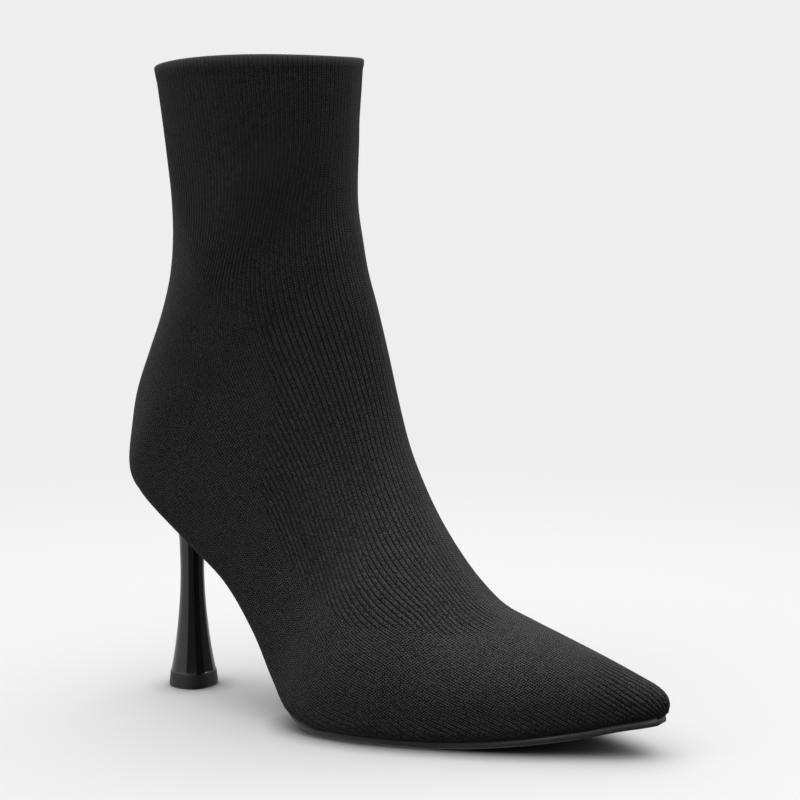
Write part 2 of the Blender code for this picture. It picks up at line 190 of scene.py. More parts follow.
def sideSurface(where, side):  # half sections with their arc lengths and outward normals
    where = np.asarray(where, float)
    points = halfSections(where, side)
    nudge = 0.02
    across = np.gradient(points, axis=1)
    along = (halfSections(np.minimum(where + nudge, collarAt), side)
             - halfSections(np.maximum(where - nudge, 0), side))
    normals = np.cross(across, along) * side
    normals /= np.maximum(np.linalg.norm(normals, axis=2), 1e-12)[..., None]
    steps = np.linalg.norm(np.diff(points, axis=1), axis=2)
    arcs = np.concatenate([np.zeros((len(where), 1)), np.cumsum(steps, axis=1)], axis=1)
    return points, arcs, normals


def alongArc(places, arcs, values):  # values of every section at its own arc places
    return np.stack([np.stack([np.interp(place, arc, value[:, k]) for k in range(value.shape[1])], axis=1)
                     for place, arc, value in zip(places, arcs, values)])


def smooth(value, low, high):
    t = np.clip((value - low) / (high - low), 0, 1)
    return t * t * (3 - 2 * t)


def meshObject(name, points, faces, material=None):
    mesh = bpy.data.meshes.new(name)
    mesh.from_pydata([tuple(p) for p in points], [], faces)
    mesh.update()
    made = bpy.data.objects.new(name, mesh)
    bpy.context.scene.collection.objects.link(made)
    if material:
        mesh.materials.append(material)
    return made


def tidyMesh(made, merge=2e-6):  # weld, turn the faces outwards, shade smooth
    data = bmesh.new()
    data.from_mesh(made.data)
    bmesh.ops.remove_doubles(data, verts=data.verts, dist=merge)
    bmesh.ops.dissolve_degenerate(data, edges=data.edges, dist=merge / 2)
    bmesh.ops.recalc_face_normals(data, faces=data.faces)
    if data.calc_volume(signed=True) < 0:
        bmesh.ops.reverse_faces(data, faces=data.faces)
    openEdges = sum(1 for edge in data.edges if len(edge.link_faces) != 2)
    data.to_mesh(made.data)
    data.free()
    made.data.polygons.foreach_set("use_smooth", [True] * len(made.data.polygons))
    made.data.update()
    triangles = sum(len(p.vertices) - 2 for p in made.data.polygons)
    report(f"{made.name}: {triangles} triangles, {openEdges} open edges")
    return made


def newMaterial(name):
    material = bpy.data.materials.new(name)
    material.use_nodes = True
    return material, material.node_tree, material.node_tree.nodes["Principled BSDF"]


def addNode(tree, kind, **settings):
    node = tree.nodes.new(kind)
    for key, value in settings.items():
        setattr(node, key, value)
    return node


def feed(tree, socket, value):
    if isinstance(value, bpy.types.NodeSocket):
        tree.links.new(value, socket)
    else:
        socket.default_value = value


def calc(tree, operation, first, second=0.0, third=0.0):  # one Math node
    node = addNode(tree, "ShaderNodeMath", operation=operation)
    for socket, value in zip(node.inputs, (first, second, third)):
        feed(tree, socket, value)
    return node.outputs[0]


def ramp(tree, value, fromLow, fromHigh, toLow=0.0, toHigh=1.0):  # a smooth Map Range
    node = addNode(tree, "ShaderNodeMapRange", interpolation_type="SMOOTHSTEP")
    for name, part in (("Value", value), ("From Min", fromLow), ("From Max", fromHigh),
                       ("To Min", toLow), ("To Max", toHigh)):
        feed(tree, node.inputs[name], part)
    return node.outputs[0]


def blendColour(tree, share, first, second):
    node = addNode(tree, "ShaderNodeMix", data_type="RGBA")
    feed(tree, node.inputs["Factor"], share)
    feed(tree, node.inputs[6], (*first, 1) if isinstance(first, tuple) else first)
    feed(tree, node.inputs[7], (*second, 1) if isinstance(second, tuple) else second)
    return node.outputs[2]


def scaled(colour, share):
    return tuple(share * c for c in colour)


def noise(tree, vector, scale, detail=2.0, roughness=0.5):
    node = addNode(tree, "ShaderNodeTexNoise")
    feed(tree, node.inputs["Vector"], vector)
    feed(tree, node.inputs["Scale"], scale)
    feed(tree, node.inputs["Detail"], detail)
    feed(tree, node.inputs["Roughness"], roughness)
    return node.outputs[0]


def bump(tree, height, distance, strength):
    node = addNode(tree, "ShaderNodeBump")
    feed(tree, node.inputs["Height"], height)
    feed(tree, node.inputs["Distance"], distance)
    feed(tree, node.inputs["Strength"], strength)
    return node.outputs[0]


knit = {
    "ribsEachSide": 65,       # wales from the ridge to the back
    "toeRib": 0.0019,         # wale width at the toe
    "toeFrom": 8.0,           # where the wales start to keep that width
    "toeBlend": 3.0,          # over this many places
    "rows": 170,
    "underColumns": 4,        # from the feather edge to the opening
    "cornerShare": 0.42,      # where the feather edge lies on the lower half of a section
    "cornerMargin": 0.0016,   # how far the wales run past the feather edge
    "shaftFrom": 15.2, "shaftTo": 18.2,  # the sections close underneath between these places
    "thickness": 0.0009,
    "grooveDepth": 0.00042,
    "grooveHalf": 0.17,       # half the groove's width, a share of the wale
    "stand": 0.0003,          # the crowns stand this far off the last
    "crownHeight": 0.00004,   # and a wale's middle this much over its sides
    "stitch": 0.00093,        # course height
    "fromCollar": 0.5,        # share of the count that starts at the collar
    "fuzz": 2100.0,
    "grain": 4.3,             # how much the fuzz shows
    "shaftGrainUnderFrontLight": 0.5,        # and how much of that on the shaft, where light falls more frontally; the fuller contrast lower down is painted shade
    "hemHighlightReach": 0.0036,       # painted highlight: the rolled edge is coloured lighter this far under the collar's edge, where light catches the rim
    "hemHeight": 0.0034,
    "hemSwell": 0.00035,
    "rimRings": 7,
    "colour": (0.0125, 0.0125, 0.0130),
    # painted shade: the grooves between the deep wales are coloured near black
    "paintedGrooveShade": (0.0008, 0.0008, 0.0008),
    "darkYarn": 0.08, "lightYarn": 2.9, "rolledEdgeHighlight": 5.0,  # shares of the colour; the rolled edge's share is a painted highlight
    # how many wales from the ridge the instep's deep ribs reach, at places along the table
    "zonePlaces": [5.5, 6, 8.3, 9.1, 10.4, 11.7, 12.4, 13.2, 13.6, 14.1, 14.6, 16, 18, 27],
    "zoneWales": [5, 8.5, 20.5, 24.5, 27.5, 32, 34, 34, 32, 27, 22, 21, 26, 65],
    # how deep they are elsewhere, as shares of the instep's depth, and the places between which that starts or ends
    "toeDepth": 0.85, "sideDepth": 0.5, "shaftDepth": 0.15, "plainDepth": 0.08,
    "toeEnds": (2.3, 4.9), "sideEnds": (9.5, 12.5), "shaftStarts": (14.0, 17.5), "shaftEnds": (18.0, 23.0),
    "sideFades": (0.005, 0.018),  # metres from the feather edge
}


def waleWidths(where, girth):  # the wales all reach from the collar to the waist; at the toe they keep one width
    plain = girth / knit["ribsEachSide"]
    base = np.interp(knit["toeFrom"], where, plain)
    share = smooth(knit["toeFrom"] - where, 0, knit["toeBlend"])
    return np.where(where < knit["toeFrom"], base + (knit["toeRib"] - base) * share, plain)


def evenRows(count):  # places along the table about evenly spaced on the surface
    where = np.linspace(0.0, collarAt, 700)
    lateral = halfSections(where, -1, 40)
    step = np.linalg.norm(np.diff(lateral, axis=0), axis=2).max(axis=1)
    travel = np.concatenate([[0], np.cumsum(step + 0.00035)])
    return np.interp(np.linspace(0, travel[-1], count), travel, where)


def ribStrength(where, wale, fromFeather):  # how deep the wales show, over the boot
    v = knit
    w, r, d = np.broadcast_arrays(where, wale, fromFeather)
    edge = np.interp(w, v["zonePlaces"], v["zoneWales"])
    soft = 1.5 + 3 * smooth(w, 12.6, 14.2) + 1.5 * (1 - smooth(w, 6.5, 9.5))
    instep = smooth((edge - r) / soft, -1.0, 1.0) * (0.4 + 0.6 * smooth(r, 0.5, 6)) * smooth(w, 5.2, 8.0)
    instep = instep * (1 - 0.55 * smooth(w, 13.0, 17.5)) * (0.72 + 0.28 * smooth(r - edge, -14, -5))
    toe = v["toeDepth"] * (1 - smooth(w, *v["toeEnds"]))
    side = (1 - smooth(d, *v["sideFades"])) * (1 - smooth(w, *v["sideEnds"])) * v["sideDepth"]
    shaft = v["shaftDepth"] * smooth(w, *v["shaftStarts"]) * (1 - smooth(w, *v["shaftEnds"]))
    return np.maximum.reduce([instep, toe, side, shaft, v["plainDepth"] + 0 * w])


def upperGrid(rows):
    where = evenRows(rows)
    n = knit["ribsEachSide"]
    half = knit["grooveHalf"]
    wales = np.array([k + part for k in range(n) for part in (0, 0.5 - half, 0.5, 0.5 + half)] + [n], float)
    sheets = []
    for side in (-1, 1):
        points, arcs, normals = sideSurface(where, side)
        girth = arcs[:, -1]
        width = waleWidths(where, girth)
        s = stations(where)
        count = (points.shape[1] + 1) // 2
        cornerIndex = count + int(knit["cornerShare"] * count)
        corner = arcs[:, cornerIndex] + knit["cornerMargin"]
        shaft = smooth(where, knit["shaftFrom"], knit["shaftTo"])
        featherArc = corner + (girth - corner) * shaft
        out = np.abs(points[:, :, 1])
        halfWidth = s[:, 4] if side < 0 else s[:, 5]
        turnedArc = np.array([np.interp(-turned * h, -row[count:], arc[count:])
                              for turned, h, row, arc in zip(s[:, 8], halfWidth, out, arcs)])
        isOpen = (where >= openFrom) & (where <= openTo)
        endArc = np.where(isOpen, np.maximum(turnedArc, featherArc), girth)
        place = np.minimum(wales[None, :] * width[:, None], featherArc[:, None])
        extra = np.linspace(0, 1, knit["underColumns"] + 1)[1:]
        under = featherArc[:, None] + (endArc - featherArc)[:, None] * extra[None, :]
        place = np.concatenate([place, under], axis=1)
        position = alongArc(place, arcs, points)
        normal = alongArc(place, arcs, normals)
        normal[..., 1] = np.where(np.abs(position[..., 1]) < 1e-6, 0, normal[..., 1])
        normal /= np.linalg.norm(normal, axis=2)[..., None]
        wale = place / width[:, None]
        fromFeather = featherArc[:, None] - place + shaft[:, None]
        strength = ribStrength(where[:, None], wale, fromFeather)
        strength = strength * smooth(fromFeather, 0.0, 0.0022)
        sheets.append((position, normal, side * wale, strength))
    lateral, medial = sheets
    joined = [np.concatenate([medial[k][:, :0:-1], lateral[k]], axis=1) for k in range(4)]
    return where, joined, (where >= openFrom) & (where <= openTo)


where, (skin, skinNormals, wale, strength), openRow = upperGrid(knit["rows"])
report(f"upper grid {skin.shape[0]} x {skin.shape[1]}")


def buildKnit():
    v = knit
    height, width = skin.shape[:2]
    below = np.linalg.norm(skin - skin[-1][None], axis=2)  # about how far under the collar's edge
    swell = v["hemSwell"] * smooth(v["hemHeight"] - below, 0, 0.0008)
    outside = skin + skinNormals * (swell[..., None] + v["stand"])
    inside = skin - skinNormals * v["thickness"]
    opened = np.flatnonzero(openRow)
    rowPick = sorted(set(range(0, height, 2)) | {opened[0] - 1, opened[-1] + 1, height - 1})
    colPick = sorted(set(list(range(0, width, 4)) + [width - 1]))
    points, faces = [], []
    deep, wales, courses, hemHighlights = [], [], [], []
    # painted highlight: the hem mask marks the band just under the collar's edge, which is coloured lighter where
    # light catches the rolled rim
    hem = smooth(v["hemHighlightReach"] - below, 0, v["hemHighlightReach"])
    # courses are counted along every wale, partly from the collar and partly from the toe
    steps = np.linalg.norm(np.diff(skin, axis=0), axis=2)
    fromToe = np.concatenate([np.zeros((1, width)), np.cumsum(steps, axis=0)])
    course = (v["fromCollar"] * fromToe[-1] - fromToe) / v["stitch"]

    def addRow(positions, depth, waleRow, courseRow, hemHighlightRow=None):
        start = len(points)
        hemHighlights.extend(0 * np.asarray(depth) if hemHighlightRow is None else hemHighlightRow)
        points.extend(positions)
        deep.extend(depth)
        wales.extend(waleRow)
        courses.extend(courseRow)
        return list(range(start, len(points)))

    outerRows = [addRow(outside[r], strength[r], wale[r], course[r], hem[r]) for r in range(height)]
    rimRows = []
    edgeOut, edgeIn = outside[-1], inside[-1]
    middle, radius = (edgeOut + edgeIn) / 2, (edgeOut - edgeIn) / 2
    lift = np.linalg.norm(radius, axis=1)
    for k in range(1, v["rimRings"]):
        angle = math.pi * k / v["rimRings"]
        ring = middle + radius * math.cos(angle)
        ring[:, 2] += lift * math.sin(angle)
        rimRows.append(addRow(ring, strength[-1] * math.cos(angle / 2), wale[-1], course[-1] - k * 0.2, hem[-1]))
    innerRows = {r: addRow(inside[r, colPick], 0 * strength[r, colPick], wale[r, colPick], course[r, colPick])
                 for r in rowPick}
    tall = outerRows + rimRows
    for low, high in zip(tall[:-1], tall[1:]):
        faces += [(low[c], low[c + 1], high[c + 1], high[c]) for c in range(width - 1)]
    for low, high in zip(rowPick[:-1], rowPick[1:]):
        a, b = innerRows[low], innerRows[high]
        faces += [(a[c + 1], a[c], b[c], b[c + 1]) for c in range(len(colPick) - 1)]
        for outerColumn, innerColumn in ((0, 0), (-1, -1)) if openRow[low:high + 1].any() else ():
            faces.append(tuple([outerRows[r][outerColumn] for r in range(low, high + 1)]
                               + [b[innerColumn], a[innerColumn]]))
    rim, inner = tall[-1], innerRows[rowPick[-1]]
    for k in range(len(colPick) - 1):
        faces.append(tuple(rim[colPick[k]:colPick[k + 1] + 1]) + (inner[k + 1], inner[k]))
    # the tip of the toe
    for row, reach, flip in ((outerRows[0], 0.0006, False), (innerRows[0], -0.0002, True)):
        centre = np.mean([points[i] for i in row], axis=0) + np.array([reach, 0, 0])
        tip = addRow([centre], [0], [0], [courses[row[0]]])[0]
        for c in range(len(row) - 1):
            faces.append((row[c], row[c + 1], tip) if flip else (row[c + 1], row[c], tip))
    made = meshObject("knitUpper", points, faces)
    for name, values in (("depth", deep), ("wale", wales), ("course", courses), ("hem", hemHighlights)):
        attribute = made.data.attributes.new(name, "FLOAT", "POINT")
        attribute.data.foreach_set("value", np.array(values, np.float32))
    return tidyMesh(made)


knitUpper = buildKnit()


def waleRelief():  # Geometry Nodes: sinks the grooves between the wales
    tree = bpy.data.node_groups.new("waleRelief", "GeometryNodeTree")
    face = tree.interface
    face.new_socket("Geometry", in_out="INPUT", socket_type="NodeSocketGeometry")
    for name, value in (("Groove Depth", knit["grooveDepth"]), ("Groove Half", knit["grooveHalf"]),
                        ("Crown Height", knit["crownHeight"])):
        face.new_socket(name, in_out="INPUT", socket_type="NodeSocketFloat").default_value = value
    face.new_socket("Material", in_out="INPUT", socket_type="NodeSocketMaterial")
    face.new_socket("Geometry", in_out="OUTPUT", socket_type="NodeSocketGeometry")
    given, result = tree.nodes.new("NodeGroupInput"), tree.nodes.new("NodeGroupOutput")

    def named(attribute):
        node = addNode(tree, "GeometryNodeInputNamedAttribute", data_type="FLOAT")
        node.inputs["Name"].default_value = attribute
        return node.outputs[0]

    within = calc(tree, "FRACT", calc(tree, "ABSOLUTE", named("wale")))
    wave = calc(tree, "ABSOLUTE", calc(tree, "SUBTRACT", within, 0.5))
    groove = addNode(tree, "ShaderNodeMapRange", interpolation_type="SMOOTHSTEP")
    feed(tree, groove.inputs["Value"], wave)
    feed(tree, groove.inputs["From Min"], 0.0)
    feed(tree, groove.inputs["From Max"], given.outputs["Groove Half"])
    feed(tree, groove.inputs["To Min"], 1.0)
    feed(tree, groove.inputs["To Max"], 0.0)
    crown = calc(tree, "MULTIPLY", calc(tree, "MULTIPLY", wave, 2.0), given.outputs["Crown Height"])
    sunk = calc(tree, "SUBTRACT", crown, calc(tree, "MULTIPLY", groove.outputs[0], given.outputs["Groove Depth"]))
    moved = calc(tree, "MULTIPLY", sunk, named("depth"))
    shift = addNode(tree, "ShaderNodeVectorMath", operation="SCALE")
    feed(tree, shift.inputs[0], tree.nodes.new("GeometryNodeInputNormal").outputs[0])
    feed(tree, shift.inputs["Scale"], moved)
    place = tree.nodes.new("GeometryNodeSetPosition")
    feed(tree, place.inputs["Geometry"], given.outputs["Geometry"])
    feed(tree, place.inputs["Offset"], shift.outputs[0])
    realize = tree.nodes.new("GeometryNodeRealizeInstances")
    feed(tree, realize.inputs["Geometry"], place.outputs["Geometry"])
    finish = tree.nodes.new("GeometryNodeSetMaterial")
    feed(tree, finish.inputs["Geometry"], realize.outputs["Geometry"])
    feed(tree, finish.inputs["Material"], given.outputs["Material"])
    feed(tree, result.inputs[0], finish.outputs["Geometry"])
    return tree


def applyTree(made, tree, **values):  # runs a tree on a piece and keeps the plain mesh
    modifier = made.modifiers.new(tree.name, "NODES")
    modifier.node_group = tree
    for item in tree.interface.items_tree:
        if item.item_type == "SOCKET" and item.in_out == "INPUT" and item.name in values:
            modifier[item.identifier] = values[item.name]
    bpy.context.view_layer.update()
    evaluated = made.evaluated_get(bpy.context.evaluated_depsgraph_get())
    mesh = bpy.data.meshes.new_from_object(evaluated)
    made.modifiers.clear()
    old, made.data = made.data, mesh
    mesh.name = made.name
    bpy.data.meshes.remove(old)
    made.data.polygons.foreach_set("use_smooth", [True] * len(made.data.polygons))
    return made


def knitMaterial():
    material, tree, shader = newMaterial("ribbedKnit")
    v = knit

    def attribute(name):
        return addNode(tree, "ShaderNodeAttribute", attribute_name=name).outputs["Fac"]

    count = calc(tree, "ABSOLUTE", attribute("wale"))
    depth, course = attribute("depth"), attribute("course")
    wave = calc(tree, "ABSOLUTE", calc(tree, "SUBTRACT", calc(tree, "FRACT", count), 0.5))
    # painted shade: where the wales are deep, their grooves are coloured near black, and the same mask sinks the
    # bump
    groove = ramp(tree, wave, 0.03, 0.19, 1.0, 0.0)
    sunk = calc(tree, "MULTIPLY", groove, ramp(tree, depth, 0.10, 0.62, 0.0, 1.0))
    loop = calc(tree, "SINE", calc(tree, "MULTIPLY", calc(tree, "MULTIPLY_ADD", wave, -0.8, course), 2 * math.pi))
    legs = calc(tree, "SINE", calc(tree, "MULTIPLY", count, 4 * math.pi))
    plain = ramp(tree, depth, 0.25, 0.85, 1.0, 0.0)
    coords = addNode(tree, "ShaderNodeTexCoord").outputs["Object"]
    split = addNode(tree, "ShaderNodeSeparateXYZ")
    feed(tree, split.inputs[0], coords)
    # painted shade: the yarn pattern's colour contrast is full low on the foot, where light grazes it from above,
    # and drops to a share on the shaft; the bump follows it too
    grazingShadeShare = ramp(tree, split.outputs["Z"], 0.07, 0.17, 1.0, v["shaftGrainUnderFrontLight"])
    fuzz = calc(tree, "SUBTRACT", noise(tree, coords, v["fuzz"], 1, 0.6), 0.5)
    patches = noise(tree, coords, 70, 2, 0.5)
    shade = calc(tree, "MULTIPLY", fuzz, v["grain"])
    shade = calc(tree, "MULTIPLY_ADD", loop, calc(tree, "MULTIPLY_ADD", plain, 0.50, 0.20), shade)
    shade = calc(tree, "MULTIPLY_ADD", legs, calc(tree, "MULTIPLY", plain, 0.50), shade)
    shade = calc(tree, "MULTIPLY_ADD", calc(tree, "SUBTRACT", patches, 0.5), 0.3, shade)
    # the yarn is coloured a little lighter where the wales are deep, to keep their mean tone against the painted
    # groove shade
    shade = calc(tree, "MULTIPLY_ADD", shade, grazingShadeShare, calc(tree, "MULTIPLY_ADD", plain, -0.12, 0.48))
    clamp = addNode(tree, "ShaderNodeClamp")
    feed(tree, clamp.inputs[0], shade)
    darkest, lightest, edge = (scaled(v["colour"], v[key]) for key in ("darkYarn", "lightYarn", "rolledEdgeHighlight"))
    yarn = blendColour(tree, clamp.outputs[0], darkest, lightest)
    # painted highlight: the band under the collar's edge is coloured lighter
    rimHighlighted = blendColour(tree, calc(tree, "MULTIPLY", attribute("hem"), 0.8), yarn, edge)
    # painted shade: the grooves are coloured near black over the yarn
    feed(tree, shader.inputs["Base Color"], blendColour(tree, sunk, rimHighlighted, v["paintedGrooveShade"]))
    height = calc(tree, "MULTIPLY_ADD", loop, 0.2, calc(tree, "MULTIPLY", fuzz, 1.2))
    height = calc(tree, "MULTIPLY_ADD", legs, calc(tree, "MULTIPLY", plain, 0.2), height)
    height = calc(tree, "SUBTRACT", calc(tree, "MULTIPLY", height, grazingShadeShare), sunk)
    feed(tree, shader.inputs["Normal"], bump(tree, height, 0.00025, 0.8))
    feed(tree, shader.inputs["Roughness"], 0.85)
    feed(tree, shader.inputs["Specular IOR Level"], 0.12)
    feed(tree, shader.inputs["Sheen Weight"], 0.03)
    feed(tree, shader.inputs["Sheen Roughness"], 0.5)
    feed(tree, shader.inputs["Sheen Tint"], (0.92, 0.94, 1.0, 1))
    return material


applyTree(knitUpper, waleRelief(), **{"Groove Depth": knit["grooveDepth"], "Groove Half": knit["grooveHalf"],
                                      "Crown Height": knit["crownHeight"], "Material": knitMaterial()})
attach(knitUpper, "root")
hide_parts("upper")
report("knitted upper")

lining = {
    "inset": 0.00095,         # just inside the knit
    "thickness": 0.00080,
    "hem": 0.014,             # the knit turns in this far; the lining starts below
    "columnStep": 4, "rowStep": 2, "fromRow": 12,
    "hemPlace": 25.3,         # below this place along the table every row is lined
    "weave": 7000,
    "colour": (0.020, 0.0195, 0.019),
}


def wovenMaterial(name, colour, scale):
    material, tree, shader = newMaterial(name)
    split = addNode(tree, "ShaderNodeSeparateXYZ")
    feed(tree, split.inputs[0], addNode(tree, "ShaderNodeTexCoord").outputs["Object"])
    along = calc(tree, "ADD", split.outputs["X"], split.outputs["Z"])
    warp = calc(tree, "SINE", calc(tree, "MULTIPLY", along, scale))
    weft = calc(tree, "SINE", calc(tree, "MULTIPLY", split.outputs["Y"], scale))
    weave = calc(tree, "MULTIPLY", warp, weft)
    tone = blendColour(tree, ramp(tree, weave, -1.0, 1.0), scaled(colour, 0.6), scaled(colour, 1.35))
    feed(tree, shader.inputs["Base Color"], tone)
    feed(tree, shader.inputs["Roughness"], 0.8)
    feed(tree, shader.inputs["Normal"], bump(tree, weave, 0.0001, 0.6))
    return material


def buildLining():
    v = lining
    step = v["columnStep"]
    highest = skin[-1, :, 2].max() - v["hem"]
    rows = [r for r in range(v["fromRow"], len(where), v["rowStep"])
            if skin[r, :, 2].max() < highest or where[r] < v["hemPlace"]]
    columns = list(range(0, skin.shape[1], step))
    if (skin.shape[1] - 1) % step:
        columns.append(skin.shape[1] - 1)
    outer = (skin - skinNormals * v["inset"])[rows][:, columns]
    inner = (skin - skinNormals * (v["inset"] + v["thickness"]))[rows][:, columns]
    height, width = outer.shape[:2]
    points = list(outer.reshape(-1, 3)) + list(inner.reshape(-1, 3))
    shift = height * width
    faces = []
    for r in range(height - 1):
        for c in range(width - 1):
            k = r * width + c
            faces.append((k, k + 1, k + width + 1, k + width))
            faces.append((shift + k + width, shift + k + width + 1, shift + k + 1, shift + k))
        if openRow[rows[r]] or openRow[rows[r + 1]]:
            for c in (0, width - 1):
                k = r * width + c
                faces.append((k, k + width, shift + k + width, shift + k))
    for r in (0, height - 1):
        for k in range(r * width, r * width + width - 1):
            faces.append((k, k + 1, shift + k + 1, shift + k))
    made = tidyMesh(meshObject("lining", points, faces, wovenMaterial("liningWeave", v["colour"], v["weave"])))
    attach(made, "root")


buildLining()

outsole = {
    "from": 1.333, "to": 16.2,
    "rows": 130,
    "edgeRound": 0.0005,
    "sideTuck": 0.985,        # the tread's width, a share of the top's
    "cover": 0.14,            # how far it covers the turned-in edge, a share of the half width
    # painted shade: the sole's side is coloured near black low down, for the shadow along its lower half
    "paintedShadeBelow": 0.0012, "grain": 2600,
    "colour": (0.023, 0.023, 0.024),
}


def underPoints(where, shares, depth):  # points across the underside at shares of the half width, moved outwards
    s = stations(where)
    rows = []
    for side in (-1, 1):
        points, _, normals = sideSurface(where, side)
        count = (points.shape[1] + 1) // 2
        half = s[:, 4] if side < 0 else s[:, 5]
        out = np.abs(points[:, count:, 1])
        row = []
        for share in shares:
            wanted = -(np.asarray(share) * half)
            row.append(np.stack([np.stack([np.interp(w, -out[i], (points + depth[i] * normals)[i, count:, k])
                                           for k in range(3)]) for i, w in enumerate(wanted)]))
        rows.append(np.stack(row, axis=1))
    lateral, medial = rows
    return np.concatenate([medial[:, ::-1], lateral], axis=1)


def underNormals(where):  # straight out of the underside, in the centre plane
    run = stations(np.maximum(where - 0.1, 0))[:, :2] - stations(np.minimum(where + 0.1, collarAt))[:, :2]
    run /= np.linalg.norm(run, axis=1)[:, None]
    return np.stack([run[:, 1], 0 * run[:, 0], -run[:, 0]], axis=1)


def closedLoft(name, rings, material):  # rings of equal length, ends closed to a point
    rings = [np.asarray(ring) for ring in rings]
    count = len(rings[0])
    points = [p for ring in rings for p in ring]
    faces = [(r * count + c, r * count + (c + 1) % count, (r + 1) * count + (c + 1) % count, (r + 1) * count + c)
             for r in range(len(rings) - 1) for c in range(count)]
    for start in (0, (len(rings) - 1) * count):
        points.append(np.mean(points[start:start + count], axis=0))
        faces += [(start + c, start + (c + 1) % count, len(points) - 1) for c in range(count)]
    return tidyMesh(meshObject(name, points, faces, material))


def rubberMaterial(name, colour, roughness, grain, paintedShadeBelow=0.0):  # painted shade: darker under that height, for the sole's lower side in shadow by the floor
    material, tree, shader = newMaterial(name)
    coords = addNode(tree, "ShaderNodeTexCoord").outputs["Object"]
    fine = noise(tree, coords, grain, 4, 0.6)
    wide = noise(tree, coords, grain / 30, 2, 0.5)
    tone = blendColour(tree, ramp(tree, wide, 0.35, 0.65), colour, scaled(colour, 1.25))
    if paintedShadeBelow:
        # painted shade along the bottom of the sole's side
        split = addNode(tree, "ShaderNodeSeparateXYZ")
        feed(tree, split.inputs[0], coords)
        above = ramp(tree, split.outputs["Z"], 0.6 * paintedShadeBelow, paintedShadeBelow)
        tone = blendColour(tree, above, scaled(colour, 0.15), tone)
    feed(tree, shader.inputs["Base Color"], tone)
    feed(tree, shader.inputs["Roughness"], ramp(tree, fine, 0.2, 0.8, roughness - 0.06, roughness + 0.08))
    feed(tree, shader.inputs["Normal"], bump(tree, fine, 0.00006, 0.5))
    return material


def buildOutsole():
    v, s = outsole, last
    where = np.interp(np.linspace(0, 1, v["rows"]), np.linspace(0, 1, 40), np.linspace(v["from"], v["to"], 40))
    numbers = stations(where)
    cover = 1 - 0.9 * np.clip((where - 9) / 2, 0, 1)
    turned = numbers[:, 8]
    edge = turned + v["cover"] * cover
    thick = s["soleThickness"] + (s["seatThickness"] - s["soleThickness"]) * np.clip((where - 9.6) / 1.6, 0, 1)
    gap = np.full(len(where), s["gap"])
    shares = [0 * edge, 0.3 * edge, 0.6 * edge, 0.85 * edge, 0.97 * edge, edge]
    top = underPoints(where, shares, gap)
    top = np.concatenate([top[:, :6], top[:, 7:]], axis=1)
    normal = underNormals(where)
    run = numbers[:, 2:4] - numbers[:, 0:2]
    run /= np.linalg.norm(run, axis=1)[:, None]
    follow = np.clip((where - 9) / 3, 0, 1)
    rings = []
    for i in range(len(where)):
        half = np.where(top[i, :, 1] < 0, numbers[i, 4], numbers[i, 5])
        rise = numbers[i, 6] * math.hypot(*(numbers[i, 2:4] - numbers[i, 0:2]))
        share = np.minimum(np.abs(top[i, :, 1]) / half, 1)
        up = follow[i] * rise * (1 - (1 - share ** numbers[i, 7]) ** (1 / numbers[i, 7]))
        depth = s["gap"] + thick[i]
        bottom = np.stack([numbers[i, 0] + run[i, 0] * up + normal[i, 0] * depth, top[i, :, 1] * v["sideTuck"],
                           numbers[i, 1] + run[i, 1] * up + normal[i, 2] * depth], axis=1)
        bottom[:, 2] = np.where(bottom[:, 2] < 0.00025, 0.0, bottom[:, 2])
        bevel = v["edgeRound"] * thick[i] / s["soleThickness"]
        sideA = bottom[0] + (top[i, 0] - bottom[0]) * (bevel / thick[i])
        sideB = bottom[-1] + (top[i, -1] - bottom[-1]) * (bevel / thick[i])
        bottom[0, 1] -= bevel
        bottom[-1, 1] += bevel
        midA, midB = (sideA + bottom[0]) / 2, (sideB + bottom[-1]) / 2
        midA[1] += 0.2 * bevel
        midB[1] -= 0.2 * bevel
        rings.append(np.concatenate([top[i], [sideB, midB], bottom[::-1], [midA, sideA]]))
    rubber = rubberMaterial("soleRubber", v["colour"], 0.5, v["grain"], v["paintedShadeBelow"])
    made = closedLoft("outsole.shown", rings, rubber)
    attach(made, "root")
    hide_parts("outsole")


buildOutsole()

insole = {
    "thickness": 0.0026,
    "rows": 80,
    "cover": 0.13,            # how far it lies on the turned-in edge, a share of the half width
    "weave": 5200,
    "colour": (0.030, 0.029, 0.028),
}


def buildInsole():
    v = insole
    where = np.linspace(openFrom, openTo, v["rows"])
    edge = stations(where)[:, 8] + v["cover"]
    low = np.full(len(where), last["wall"] + last["gap"])
    levels = []
    for lift, parts in ((0.0, (0, 0.3, 0.6, 0.85, 0.97)), (0.5, (0.99,)), (0.85, (0.98,)),
                        (1.0, (0.95, 0.85, 0.6, 0.3, 0))):
        levels.append(underPoints(where, [part * edge for part in parts], -(low + lift * v["thickness"])))
    bottom, middle, upper, top = levels
    rings = [np.concatenate([bottom[i, :5], bottom[i, 6:], middle[i, 1:], upper[i, 1:], top[i, 5:], top[i, 1:5],
                             upper[i, :1], middle[i, :1]]) for i in range(len(where))]
    made = closedLoft("insole.shown", rings, wovenMaterial("insoleCloth", v["colour"], v["weave"]))
    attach(made, "root")
    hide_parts("insole")


buildInsole()

